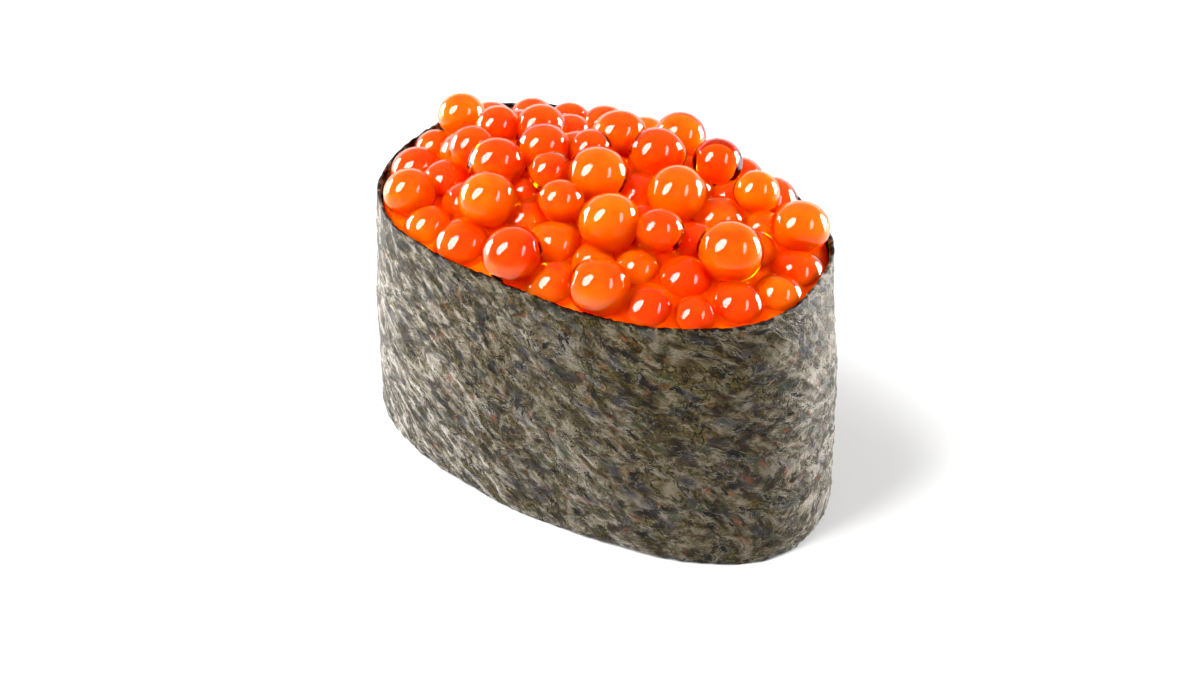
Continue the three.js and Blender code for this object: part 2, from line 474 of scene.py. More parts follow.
def strip_section(nori):
    """The strip's section as two columns: rise, 0 at the foot to 1 at the rim, and face.

    It runs up the outside, where face is 1, over the cut top edge, down the inside, where face
    is -1, and under the cut bottom edge. The cut edges are a little narrower than the sheet.
    """
    low, high, corner = 0.006, 0.994, 0.6
    outside = np.linspace(low, high, nori.rows)
    # finer down to the eggs, coarser beside the rice
    inside = np.concatenate([np.linspace(high, 0.6, 24), np.linspace(0.5, low, 6)])
    return np.concatenate([
        np.stack([outside, np.ones_like(outside)], 1),
        [[1.0, corner], [1.0, -corner]],
        np.stack([inside, -np.ones_like(inside)], 1),
        [[0.0, -corner], [0.0, corner]],
    ])


def make_nori(oval, nori):
    """The band as one closed surface of two parameters, along the strip and round its section.

    Each point is the oval's point at its angle and height, moved out by soft dents and fine
    wrinkles, which both faces share, and outside also by the lap.
    """
    rng = np.random.default_rng(41)
    # the last column and the first stand a hair either side of the lap's cut end
    hair = 1e-3
    theta, around = even_angles(oval, nori.band_height, nori.columns, nori.lap_end + hair)
    theta[-1] = theta[0] + TAU - 2 * hair
    along = np.linspace(0, around, nori.columns)
    section = strip_section(nori)
    rise, face = section[:, :1], section[:, 1:]

    foot = foot_height(nori, theta)
    rim = rim_height(nori, theta)
    flat = np.zeros_like(along)
    # the cut edges are frayed, finely and coarsely
    for cell in (0.35 * MM, 1.1 * MM):
        rim = rim + nori.fray / 2 * noise(rng, along, flat, cell, 1.0, around)
        foot = foot + nori.fray / 2 * (1 + noise(rng, along, flat, cell, 1.0, around))
    height = foot + (rim - foot) * rise

    def bumps(u, cell_u, cell_v):
        """Noise over the band, in cells of so many millimetres along the strip and up it."""
        return noise(rng, u, height, cell_u * MM, cell_v * MM, around)

    # dents, mostly inwards, then slanting wrinkles with a ridge where the noise passes zero
    u = np.broadcast_to(along, height.shape)
    push = nori.dent * (bumps(u, 8, 9) - 0.5)
    push += nori.dent / 2 * bumps(u, 3.2, 4)
    slant = (u + 0.9 * height) % around
    for cell_u, cell_v, part in ((1.1, 3.2, 0.55), (0.6, 1.7, 0.35), (0.45, 0.5, 0.2)):
        ridge = 1 - np.abs(bumps(slant, cell_u, cell_v))
        push += nori.wrinkle * part * (2 * ridge**2 - 1)

    over = lap(nori, theta) * nori.sheet_thickness * (face > 0)
    half = nori.sheet_thickness / 2
    inset = half - face * half - over - push
    x, y = oval_point(oval, nori.band_height, theta, height, inset)
    points = np.stack([x, y, height], -1)
    rows, columns = height.shape
    faces = grid_faces(rows, columns, loop_rows=True, loop_columns=True)
    piece = mesh_object("nori_band", points, faces.tolist(), "nori", nori_material(nori))
    sheet_uv(piece.data, along, section[:, 0] * nori.band_height, around, faces, columns)
    piece.data.set_sharp_from_angle(angle=math.radians(50))


def sheet_uv(mesh, along, height, around, faces, columns):
    """A UV map in centimetres of strip: u along it from its cut end, v up it.

    In the faces that close the band, the first column's points count as the strip's far end.
    """
    column = faces % columns
    first = column == 0
    closing = (column == columns - 1).any(1) & first.any(1)
    u = np.where(closing[:, None] & first, around, along[column])
    v = height[faces // columns]
    layer = mesh.uv_layers.new(name="strip")
    layer.data.foreach_set("uv", (np.stack([u, v], -1) / CM).ravel())


def nori_material(nori):
    """Pressed seaweed: crumbs of leaf in greys, purples and olives under pale fibres and cracks.

    Everything follows the strip's UV map, drawn out along one slanting direction and bent by
    noise, so that crumbs and fibres lie the way the sheet was combed. Scales count the cells in
    a centimetre of strip, and a shift gives each noise a place of its own.
    """
    s = Shader("nori sheet")
    strip = s.add("UVMap", uv_map="strip").outputs[0]

    def combed(stretch, lean=0.0):
        """The strip, drawn out along the comb's direction turned by a lean in radians."""
        turn = (0, 0, lean - nori.comb)
        inputs = {"Vector": strip, "Rotation": turn, "Scale": (stretch, 1.0, 1.0)}
        return s.add("Mapping", inputs, vector_type="TEXTURE").outputs[0]

    def noise_node(vector, scale, detail, rough=0.6):
        """Flat fractal noise."""
        inputs = {"Vector": vector, "Scale": scale, "Detail": detail, "Roughness": rough}
        return s.add("TexNoise", inputs, noise_dimensions="2D")

    def bent(vector, scale, amount):
        """The same places, moved about by a coloured noise."""
        wander = noise_node(vector, scale, 2.0).outputs["Color"]
        return s.mix(amount, vector, wander, blend="LINEAR_LIGHT")

    def noise_of(vector, scale, detail, shift, rough=0.6):
        """A noise value from 0 to 1."""
        moved = s.add("VectorMath", {0: vector, 1: (shift, shift, 0)}, operation="ADD")
        return noise_node(moved.outputs[0], scale, detail, rough).outputs[0]

    def weighed(start, *parts):
        """The start plus each part's distance from its middle times its weight."""
        total = start
        for value, middle, weight in parts:
            value = s.math("SUBTRACT", value, middle) if middle else value
            total = s.math("ADD", total, s.math("MULTIPLY", value, weight))
        return total

    def threads(vector, scale, width, shift, detail=2.0):
        """Thin lines where noise passes its middle value."""
        off = s.math("ABSOLUTE", s.math("SUBTRACT", noise_of(vector, scale, detail, shift), 0.5))
        return s.ramp(off, 0.0, width, 1.0, 0.0)

    def crumbs(vector, scale):
        """Three soft random values for each crumb, and how near its middle a point is."""
        node = s.add(
            "TexVoronoi", {"Vector": vector, "Scale": scale, "Smoothness": 0.25},
            feature="SMOOTH_F1", voronoi_dimensions="2D",
        )
        parts = s.add("SeparateColor", {0: node.outputs["Color"]}).outputs
        return parts, s.ramp(node.outputs["Distance"], 0.05, 0.55, 1.0, 0.0)

    # crumbs of leaf, from dark to light
    swept = bent(combed(1.45), 0.6, 0.3)
    loose = bent(bent(swept, 3.0, 0.07), 14.0, 0.014)
    coarse, coarse_middle = crumbs(loose, 5.5)
    fine, fine_middle = crumbs(loose, 12.0)
    grain = noise_of(loose, 8.0, 7.0, 3.0, 0.72)
    fleck = noise_of(loose, 9.0, 6.0, 83.0, 0.7)
    cloud = noise_of(swept, 1.4, 3.0, 7.0)
    tone = s.math("MULTIPLY", s.math("SUBTRACT", grain, 0.5), 6.0)
    tone = weighed(tone, (coarse[0], 0.5, 0.7), (fine[0], 0.5, 0.6), (cloud, 0.5, 0.7))
    base = s.mix(s.ramp(tone, -0.8, 0.4), nori.leaf_dark, nori.leaf_mid)
    base = s.mix(s.ramp(tone, 0.0, 1.0), base, nori.leaf_light)

    def tinted(base, value, edge, most, middle, shade):
        """Crumbs whose value is over an edge, ragged by flecks, take another shade."""
        ragged = weighed(value, (fleck, 0.5, 1.2))
        part = s.math("MULTIPLY", s.ramp(ragged, edge, edge + 0.15, 0.0, most), middle)
        return s.mix(part, base, shade), part

    base, blue = tinted(base, coarse[1], 0.55, 0.9, coarse_middle, nori.leaf_blue)
    base, _ = tinted(base, coarse[2], 0.72, 0.6, coarse_middle, nori.leaf_green)
    base, _ = tinted(base, fine[1], 0.82, 0.7, fine_middle, nori.leaf_green)
    base, _ = tinted(base, fine[2], 0.86, 0.8, fine_middle, nori.leaf_brown)

    # pale fibres in patches, wisps along the comb and others across it
    strands = bent(bent(combed(2.0, 0.12), 0.6, 0.4), 4.0, 0.05)
    wisps = s.math(
        "MULTIPLY", threads(strands, 9.0, 0.022, 11.0),
        s.ramp(noise_of(loose, 3.0, 3.0, 31.0), 0.45, 0.6),
    )
    cross = s.math(
        "MULTIPLY", threads(loose, 9.0, 0.02, 23.0, 6.0),
        s.ramp(noise_of(loose, 4.0, 2.0, 37.0), 0.5, 0.6),
    )
    pale = s.math("MULTIPLY", s.math("MAXIMUM", wisps, cross), 0.6)
    base = s.mix(pale, base, nori.leaf_pale)

    # slits with thin ochre leaf beside them, pinholes, and painted shade along the top and bottom
    # edges
    slits = bent(bent(combed(1.6, -0.15), 0.6, 0.4), 7.0, 0.03)
    where = s.ramp(noise_of(slits, 3.5, 1.0, 53.0), 0.5, 0.57)
    halo = s.math("MULTIPLY", threads(slits, 5.0, 0.13, 47.0), where)
    base = s.mix(s.math("MULTIPLY", halo, 0.6), base, nori.leaf_ochre)
    cracks = s.math("MULTIPLY", threads(slits, 5.0, 0.05, 47.0, 4.0), where)
    holes = s.ramp(noise_of(loose, 6.0, 7.0, 61.0, 0.76), 0.37, 0.44, 1.0, 0.0)
    up = s.add("SeparateXYZ", {0: strip}).outputs["Y"]
    half_height = nori.band_height / 2 / CM
    from_middle = s.math("ABSOLUTE", s.math("SUBTRACT", up, half_height))
    from_middle = weighed(from_middle, (fleck, 0.0, 0.2))
    # painted shade: a ragged band along the strip's top edge, beside the roe, and along its foot
    # takes the crack colour and loses its sheen
    cut = s.ramp(from_middle, half_height + 0.075, half_height + 0.1)
    cracks = s.math("MAXIMUM", s.math("MAXIMUM", cracks, holes), cut)
    cracks = s.math("MULTIPLY", cracks, 0.95)
    base = s.mix(cracks, base, nori.crack_and_edge_shade)

    # silvery fuzz on the light crumbs and fibres, less on the blue ones, none in the cracks or in
    # the painted edge shade
    fuzz = s.ramp(tone, -0.6, 1.1, 0.0, 1.2)
    fuzz = s.math("MULTIPLY", fuzz, weighed(1.0, (blue, 0.0, -0.5)))
    fuzz = weighed(fuzz, (pale, 0.0, 0.4))
    fuzz = s.math("MULTIPLY", fuzz, s.math("SUBTRACT", 1.0, cracks), clamp=True)

    height = weighed(
        s.math("MULTIPLY", grain, 1.6),
        (coarse_middle, 0.0, 0.25), (fine_middle, 0.0, 0.15), (pale, 0.0, 0.1), (cracks, 0.0, -0.5),
    )
    bump = s.add("Bump", {"Strength": 1.0, "Distance": nori.grit, "Height": height})
    shader = s.add(
        "BsdfPrincipled",
        {
            "Base Color": base,
            "Roughness": s.ramp(grain, 0.3, 0.7, 0.36, 0.58),
            "Normal": bump.outputs[0],
            "Specular IOR Level": 0.06,
            "Sheen Weight": fuzz,
            "Sheen Roughness": 0.36,
            "Sheen Tint": (*nori.fuzz, 1),
            "Coat Weight": 0.7,
            "Coat Roughness": 0.2,
            "Coat IOR": 1.22,
            "Coat Normal": bump.outputs[0],
        },
    )
    return s.surface(shader)


# ---- rice ----


def make_rice(oval, nori, rice):
    """The pressed bed: a core of rings round the oval, and grains pressed flat into its foot.

    The core's edges are quarter circles from its foot to its side and from its side to its top.
    Its foot stands in and up from the floor, among the grains.
    """
    inset = nori.sheet_thickness + rice.clearance
    theta = np.linspace(0, TAU, 160, endpoint=False)
    turn = np.linspace(0, math.pi / 2, 6)
    radius = rice.edge_round
    edge = [(radius * (1 - math.sin(t)), radius * (1 - math.cos(t))) for t in turn]
    low = [(d + rice.core_in, z + rice.core_up) for d, z in edge]
    high = [(d, rice.top - z) for d, z in reversed(edge)]
    side = [(0.0, z) for z in np.linspace(4 * MM, rice.top - 3 * MM, 6)]
    rings = []
    for d, z in low + side + high:
        x, y = oval_point(oval, nori.band_height, theta, z, inset + d)
        rings.append(np.stack([x, y, np.full_like(x, z)], -1))
    ends = [rings[0].mean(0), rings[-1].mean(0)]
    material = rice_material(rice)
    ring_block("rice_core", rings, ends, "rice", material)
    make_grains(oval, nori, rice, inset, material)


def make_grains(oval, nori, rice, inset, material):
    """Grains over the foot, each a long ball lying any way round and cut off flat at the floor.

    They stand on a grid of staggered rows, shaken a little. A grain is its length by its width
    and height, each of these varied, and is slimmer towards one end and a little tilted. What
    reaches past the wall is drawn in to it.
    """
    rng = np.random.default_rng(7)
    row_share, shake, room_needed = 0.87, 0.25, 0.9 * MM
    smallest, largest, slimming, most_tilt = 0.88, 1.1, 0.12, 0.16
    highest, floor_gap = 0.35 * MM, 0.04 * MM
    columns = np.arange(-10, 11) * rice.spacing
    rows = np.arange(-9, 10) * rice.spacing * row_share
    gx, gy = np.meshgrid(columns, rows)
    gx = gx + (np.arange(len(rows))[:, None] % 2) * rice.spacing / 2
    centre = np.stack([gx.ravel(), gy.ravel()], 1)
    centre += rng.uniform(-shake, shake, centre.shape) * rice.spacing
    rim_x, rim_y = oval_point(oval, nori.band_height, np.linspace(0, TAU, 721), 0, inset)
    wall = reach_by_angle(rim_x, rim_y)
    centre = centre[np.hypot(*centre.T) < wall(*centre.T) - room_needed]

    count, grid = len(centre), (20, 11)
    u = ball_directions(*grid)[None]
    size = rng.uniform(smallest, largest, (count, 3, 1)) * np.array(
        [rice.grain_length, rice.grain_width, rice.grain_height]
    )[None, :, None] / 2
    # z, the poles' axis, lies along the grain
    along, across, upward = u[..., 2] * size[:, 0], u[..., 0] * size[:, 1], u[..., 1] * size[:, 2]
    across = across * (1 - slimming * u[..., 2])
    turn = rng.uniform(0, math.pi, (count, 1))
    tilt = rng.uniform(-most_tilt, most_tilt, (count, 1))
    x = centre[:, :1] + along * np.cos(turn) - across * np.sin(turn)
    y = centre[:, 1:] + along * np.sin(turn) + across * np.cos(turn)
    raised = rng.uniform(0, highest, (count, 1))
    z = np.maximum(rice.grain_height / 2 + raised + upward + tilt * along, floor_gap)
    pull = np.minimum(wall(x, y) / np.maximum(np.hypot(x, y), 1e-9), 1)
    points = np.stack([x * pull, y * pull, z], -1)
    joined_balls("rice_grains", points, *grid, rng.uniform(0, 1, count), material, "rice")


def rice_material(rice):
    """Moist boiled rice, each grain a little whiter or duller, with a cloudy core."""
    s = Shader("boiled rice")
    place = s.add("TexCoord").outputs["Object"]
    patch = s.add("TexNoise", {"Vector": place, "Scale": 420.0, "Detail": 4.0}).outputs[0]
    tone = s.add("Attribute", attribute_name="tone").outputs["Fac"]
    shade = s.math("ADD", s.math("MULTIPLY", tone, 0.5), s.math("MULTIPLY", patch, 0.6))
    base = s.mix(s.ramp(shade, 0.1, 0.9), rice.dull, rice.white)
    fine = s.add("TexNoise", {"Vector": place, "Scale": 1500.0, "Detail": 3.0}).outputs[0]
    bump = s.add("Bump", {"Strength": 0.5, "Distance": 0.08 * MM, "Height": fine})
    shader = s.add(
        "BsdfPrincipled",
        {
            "Base Color": base,
            "Roughness": s.ramp(patch, 0.3, 0.7, 0.22, 0.4),
            "Normal": bump.outputs[0],
            "Subsurface Weight": 0.6,
            "Subsurface Radius": (1.0, 0.85, 0.6),
            "Subsurface Scale": 0.9 * MM,
        },
    )
    return s.surface(shader)


# ---- roe ----


def draws(seed, count):
    """A steady stream of numbers from 0 to 1, the same on every run.

    Each state is the last one times a factor plus a step, less the whole turns in it.
    """
    factor, step, turn = 1664525, 1013904223, 2**32
    values, state = [], seed
    for _ in range(count):
        state = (state * factor + step) % turn
        values.append(state / turn)
    return np.array(values)


def outness(oval, x, y, inset):
    """0 in the middle of the true oval, 1 on the oval drawn in by inset.

    It is (|x/a|^n + |y/b|^n)^(1/n), with a and b the drawn-in oval's half sizes.
    """
    n = oval.power
    a, b = oval.rim_half_length - inset, oval.rim_half_width - inset
    return (np.abs(x / a) ** n + np.abs(y / b) ** n) ** (1 / n)


def heap_floor(oval, nori, roe, x, y):
    """Height of the lowest egg centres: a low dome, highest in the middle of the oval.

    It is the height at the wall plus rise * (1 - outness^power).
    """
    out = np.minimum(outness(oval, x, y, nori.sheet_thickness), 1)
    return nori.band_height + roe.edge + roe.rise * (1 - out**roe.dome_power)


def sunflower_eggs(oval, roe, seed, count, room, turn_from):
    """The start of a layer: each egg's x, y and radius, and a spare draw from 0 to 1.

    Egg k of n stands at k golden angles round and sqrt((k + 1/2) / n) of the way out to the true
    oval drawn in by room, and is then scattered a little.
    """
    draw = draws(seed, 4 * count).reshape(-1, 4)
    index = np.arange(count)
    turn = index * math.pi * (3 - math.sqrt(5)) + turn_from
    out = np.sqrt((index + 0.5) / count)
    scatter = 2 * MM * (draw[:, 1:3] - 0.5)
    x = (oval.rim_half_length - room) * out * np.cos(turn) + scatter[:, 0]
    y = (oval.rim_half_width - room) * out * np.sin(turn) + scatter[:, 1]
    radius = roe.radius * (1 + roe.spread * (2 * draw[:, 0] - 1))
    return x, y, radius, draw[:, 3]


def pushes(eggs, others, limit):
    """The sum of each egg's overlaps with the others, each along the line from the other to it.

    An overlap is how much nearer the two centres are than their limit.
    """
    apart = eggs[:, None] - others
    gap = np.sqrt((apart**2).sum(2))
    # an egg doesn't push itself
    gap[gap == 0] = 1
    overlap = np.maximum(limit - gap, 0)
    return (apart / gap[..., None] * overlap[..., None]).sum(1)


def settled_eggs(oval, nori, roe):
    """The first layer's centres and radii.

    The eggs start on a sunflower spiral, then push apart from their neighbours, sink, and are
    kept over a low dome and off the wall, where one that stands out over the rim needs less room.
    """
    steps, shove, sink, least_room = 120, 0.25, 0.06 * MM, 0.6
    x, y, radius, spare = sunflower_eggs(oval, roe, roe.seed, roe.count, 4 * MM, 0.0)
    at = np.stack([x, y, heap_floor(oval, nori, roe, x, y) + roe.depth * spare], 1)
    limit = roe.pressing * (radius[:, None] + radius)
    for _ in range(steps):
        at = at + shove * pushes(at, at, limit)
        at[:, 2] -= sink
        floor = heap_floor(oval, nori, roe, at[:, 0], at[:, 1])
        at[:, 2] = np.clip(at[:, 2], floor, floor + roe.depth)
        above = np.maximum(at[:, 2] - nori.band_height, 0)
        reach = np.sqrt(np.maximum(radius**2 - above**2, 0))
        reach = np.maximum(reach, least_room * radius)
        out = outness(oval, at[:, 0], at[:, 1], reach + nori.sheet_thickness)
        at[:, :2] /= np.maximum(out, 1)[:, None]
    at[:, 0], at[:, 1] = pressed(oval, at[:, 0], at[:, 1])
    return at, radius


def under_eggs(oval, nori, roe, at, radius):
    """The second layer's centres and radii.

    They start on a spiral below the first layer, then rise into its gaps while they push
    apart from it and from each other, and are kept off the wall.
    """
    steps, shove, rise, pressing = 60, 0.2, 0.05 * MM, 0.9
    lowest, highest = 2 * roe.radius, 0.1 * roe.radius
    x, y, size, spare = sunflower_eggs(oval, roe, roe.seed + 1, roe.under_count, 3 * MM, 1.0)
    drop = roe.radius * (1 + 0.6 * spare)
    own = np.stack([x, y, heap_floor(oval, nori, roe, x, y) - drop], 1)
    limit = pressing * (size[:, None] + np.concatenate([size, radius]))
    for _ in range(steps):
        own = own + shove * pushes(own, np.concatenate([own, at]), limit)
        own[:, 2] += rise
        floor = heap_floor(oval, nori, roe, own[:, 0], own[:, 1])
        own[:, 2] = np.clip(own[:, 2], floor - lowest, floor - highest)
        out = outness(oval, own[:, 0], own[:, 1], size + nori.sheet_thickness)
        own[:, :2] /= np.maximum(out, 1)[:, None]
    return own, size


def pressed_eggs(oval, nori, roe, at, radius, chosen, columns, rows):
    """The chosen eggs as balls pressed flat by all their neighbours, in one array.

    Along a direction u the egg reaches (r^-p + sum((max(u.d, 0) / h)^p))^(-1/p), where r is the
    flattened, slightly uneven ball's reach and each neighbour in direction d presses with a
    plane at distance h: a smooth least of the ball and the planes. h goes a hair past the plane
    where the two balls meet, so that no gap shows. Points below the rim are then kept off the
    wall.
    """
    past_the_plane, p = 0.03 * MM, 14
    u = ball_directions(columns, rows)
    rng = np.random.default_rng(roe.seed)
    stretch = rng.uniform(-1, 1, (len(at), 3, 3)) * roe.unevenness
    stretch = (stretch + stretch.transpose(0, 2, 1))[chosen]
    apart = at[None] - at[chosen, None]
    gap = np.sqrt((apart**2).sum(2))
    own = gap < 1e-9
    gap = gap + own
    towards = apart / gap[..., None]
    size = radius[chosen, None]
    touch = (gap < size + radius) & ~own
    plane = (gap**2 + size**2 - radius**2) / (2 * gap)
    plane = np.where(touch, plane + past_the_plane, np.inf)
    ball = size / np.sqrt(
        u[:, 0] ** 2 + u[:, 1] ** 2 + (u[:, 2] / roe.flattening) ** 2
        + np.einsum("vk,ikl,vl->iv", u, stretch, u)
    )
    facing = np.maximum(np.einsum("vk,ijk->ivj", u, towards), 0)
    press = ((facing / plane[:, None]) ** p).sum(2)
    reach = (ball**-p + press) ** (-1 / p)
    points = at[chosen, None] + reach[..., None] * u
    return keep_off_wall(oval, nori, points)


def keep_off_wall(oval, nori, points):
    """Points that reach through the wall's inner face are drawn in to it.

    From a little over the rim upwards the limit widens with the square of the height, so that
    eggs bulge out over the rim.
    """
    gap, free_from, widening_over, widening = 0.12 * MM, 0.5 * MM, 1.5 * MM, 3 * MM
    rim = nori.band_height
    theta = np.linspace(0, TAU, 721)
    wall = reach_by_angle(*oval_point(oval, rim, theta, rim, nori.sheet_thickness + gap))
    over = np.clip((points[..., 2] - rim - free_from) / widening_over, 0, 1)
    limit = wall(points[..., 0], points[..., 1]) + widening * over**2
    reach = np.hypot(points[..., 0], points[..., 1])
    pull = np.minimum(limit / np.maximum(reach, 1e-9), 1)
    return points * np.stack([pull, pull, np.ones_like(pull)], -1)


def make_roe(oval, nori, rice, roe):
    """The heap: clear eggs with their yolks, over more eggs and a bed down to the rice.

    A yolk is its egg drawn in about a centre a little off the egg's own. Towards the back more
    of the yolks are small ones.
    """
    off_centre, small_yolk, oftener_behind = 0.04, 0.8, 6
    # columns and rows of a ball's grid
    fine, plain = (48, 25), (28, 15)
    at, radius = settled_eggs(oval, nori, roe)
    under, under_radius = under_eggs(oval, nori, roe, at, radius)
    everything = np.concatenate([at, under])
    sizes = np.concatenate([radius, under_radius])
    rng = np.random.default_rng(roe.seed + 2)
    tone = rng.uniform(0, 1, len(everything))
    yolk = rng.uniform(roe.yolk_small, roe.yolk_large, len(at))
    chance = roe.clear_part * np.where(at[:, 1] > roe.clear_from, oftener_behind, 1)
    yolk[rng.uniform(0, 1, len(at)) < chance] *= small_yolk
    off = rng.normal(0, off_centre, (len(at), 3)) * radius[:, None]
    top, low = np.arange(len(at)), np.arange(len(at), len(everything))
    deep = bed_material(roe)

    shells = pressed_eggs(oval, nori, roe, everything, sizes, top, *fine)
    joined_balls("roe_eggs", shells, *fine, tone[top], egg_material(roe), "roe")
    yolks = pressed_eggs(oval, nori, roe, everything, sizes, top, *plain)
    yolks = at[:, None] + off[:, None] + yolk[:, None, None] * (yolks - at[:, None])
    joined_balls("roe_yolks", yolks, *plain, tone[top], yolk_material(roe), "roe")
    lower = pressed_eggs(oval, nori, roe, everything, sizes, low, *plain)
    joined_balls("roe_under_eggs", lower, *plain, tone[low], deep, "roe")
    make_roe_bed(oval, nori, rice, roe, deep)


def make_roe_bed(oval, nori, rice, roe, material):
    """The roe below the eggs that show: a block with the oval's outline and a domed top.

    At a share s of the way out the top stands at the wall's top plus rise * (1 - s^power).
    """
    inset = nori.sheet_thickness + rice.clearance
    theta = np.linspace(0, TAU, 144, endpoint=False)
    foot = rice.top + rice.clearance
    wall_top = nori.band_height + roe.edge + roe.core_cover
    rings = [(1.0, z) for z in np.linspace(foot, wall_top, 5)]
    rings += [
        (s, wall_top + roe.rise * (1 - s**roe.dome_power)) for s in np.linspace(0.95, 0.05, 19)
    ]
    points = []
    for s, z in rings:
        x, y = oval_point(oval, nori.band_height, theta, min(z, nori.band_height), inset)
        points.append(np.stack([s * x, s * y, np.full_like(x, z)], -1))
    ring_block("roe_bed", points, [[0, 0, foot], [0, 0, rings[-1][1]]], "roe", material)


def egg_material(roe):
    """Wet clear shell: what crosses it turns orange with depth."""
    s = Shader("salmon roe")
    shader = s.add(
        "BsdfPrincipled",
        {
            "Base Color": (*roe.skin, 1),
            "Roughness": 0.0,
            "IOR": 1.36,
            "Transmission Weight": 1.0,
            "Coat Weight": 0.2,
            "Coat Roughness": 0.05,
            "Coat IOR": 1.5,
        },
    )
    volume = s.add("VolumeAbsorption", {"Color": (*roe.shell, 1), "Density": 800.0})
    return s.surface(shader, volume)


def yolk_material(roe):
    """Soft red to orange, by each egg's tone, with painted light and shade: each yolk's bottom is
    painted lighter orange and its top redder, as light focused through the clear shell falls.
    """
    s = Shader("yolk")
    place = s.add("TexCoord")
    cloud = s.add("TexNoise", {"Vector": place.outputs["Object"], "Scale": 700.0, "Detail": 3.0})
    up = s.add("SeparateXYZ", {0: place.outputs["Normal"]}).outputs["Z"]
    tone = s.add("Attribute", attribute_name="tone").outputs["Fac"]
    # painted light and shade: upward-facing parts of each yolk turn redder, downward-facing parts
    # lighter orange
    for value, middle, weight in ((cloud.outputs[0], 0.5, 0.8), (up, 0.4, -0.6)):
        tone = s.math("ADD", tone, s.math("MULTIPLY", s.math("SUBTRACT", value, middle), weight))
    base = s.mix(s.ramp(tone, 0.0, 1.0), roe.yolk_red, roe.yolk_orange)
    shader = s.add(
        "BsdfPrincipled",
        {
            "Base Color": base,
            "Roughness": 0.4,
            "IOR": 1.05,
            "Subsurface Weight": 1.0,
            "Subsurface Radius": (1.0, 0.35, 0.05),
            "Subsurface Scale": 1.5 * MM,
        },
    )
    return s.surface(shader)


def bed_material(roe):
    """The roe further down, soft and saturated."""
    s = Shader("roe bed")
    shader = s.add(
        "BsdfPrincipled",
        {
            "Base Color": (*roe.bed, 1),
            "Roughness": 0.22,
            "IOR": 1.38,
            "Subsurface Weight": 1.0,
            "Subsurface Radius": (1.0, 0.3, 0.05),
            "Subsurface Scale": 1.0 * MM,
        },
    )
    return s.surface(shader)


# ---- stage ----


def picture_axes(stage):
    """Unit vectors from the scene to the camera, to the picture's right and up it."""
    a, e = stage.azimuth, stage.elevation
    back = Vector((math.sin(a) * math.cos(e), -math.cos(a) * math.cos(e), math.sin(e)))
    right = Vector((math.cos(a), math.sin(a), 0))
    return back, right, back.cross(right)


def make_camera(nori, stage):
    """A camera that looks at the middle of the band from a distance."""
    back, right, up = picture_axes(stage)
    middle = Vector((0, 0, nori.band_height / 2))
    camera = bpy.data.objects.new("camera", bpy.data.cameras.new("camera"))
    camera.data.lens = stage.focal
    camera.data.sensor_width = 36
    camera.data.clip_start = 0.01
    camera.location = middle + back * stage.distance
    aim = middle + right * stage.aim_right + up * stage.aim_up
    camera.rotation_euler = (camera.location - aim).to_track_quat("Z", "Y").to_euler()
    bpy.context.scene.collection.objects.link(camera)
    bpy.context.scene.camera = camera


def make_softbox(name, nori, stage, towards, size, power, lean):
    """An oval light on the heap.

    towards is its direction as shares of picture right, up and back; its long side leans to the
    right of picture up by an angle.
    """
    back, right, up = picture_axes(stage)
    direction = (right * towards[0] + up * towards[1] + back * towards[2]).normalized()
    side = right * math.sin(lean) + up * math.cos(lean)
    side = (side - direction * side.dot(direction)).normalized()
    light = bpy.data.lights.new(name, "AREA")
    light.shape = "ELLIPSE"
    light.size, light.size_y = size
    light.energy = power
    box = bpy.data.objects.new(name, light)
    turn = Matrix((side.cross(direction), side, direction)).transposed()
    place = Vector((0, 0, nori.band_height)) + direction * stage.light_distance
    box.matrix_world = Matrix.Translation(place) @ turn.to_4x4()
    bpy.context.scene.collection.objects.link(box)


def make_lights(nori, stage):
    """Two softboxes in front for the highlights, and two behind that light the band's ends."""
    # towards the light, its width and length, power and lean in degrees
    softboxes = {
        "key": ((-0.597, 0.489, 0.638), (0.27, 0.54), stage.key, 35),
        "fill": ((0.612, 0.334, 0.718), (0.12, 0.43), stage.fill, 20),
        "left edge": ((-0.9, 0.3, -0.35), (0.3, 0.5), stage.left_edge, 0),
        "right edge": ((0.93, 0.25, -0.27), (0.3, 0.5), stage.right_edge, 0),
    }
    for name, (towards, size, power, lean) in softboxes.items():
        make_softbox(name, nori, stage, towards, size, power, math.radians(lean))


def make_floor(stage):
    """A wide pale floor with a faint polish."""
    mesh = bpy.data.meshes.new("floor")
    half = 3.0
    corners = [(-half, -half, 0), (half, -half, 0), (half, half, 0), (-half, half, 0)]
    mesh.from_pydata(corners, [], [(0, 1, 2, 3)])
    floor = bpy.data.objects.new("floor", mesh)
    bpy.context.scene.collection.objects.link(floor)
    s = Shader("floor")
    shader = s.add(
        "BsdfPrincipled", {"Base Color": (*stage.floor, 1), "Roughness": 0.12, "IOR": 1.45}
    )
    mesh.materials.append(s.surface(shader))


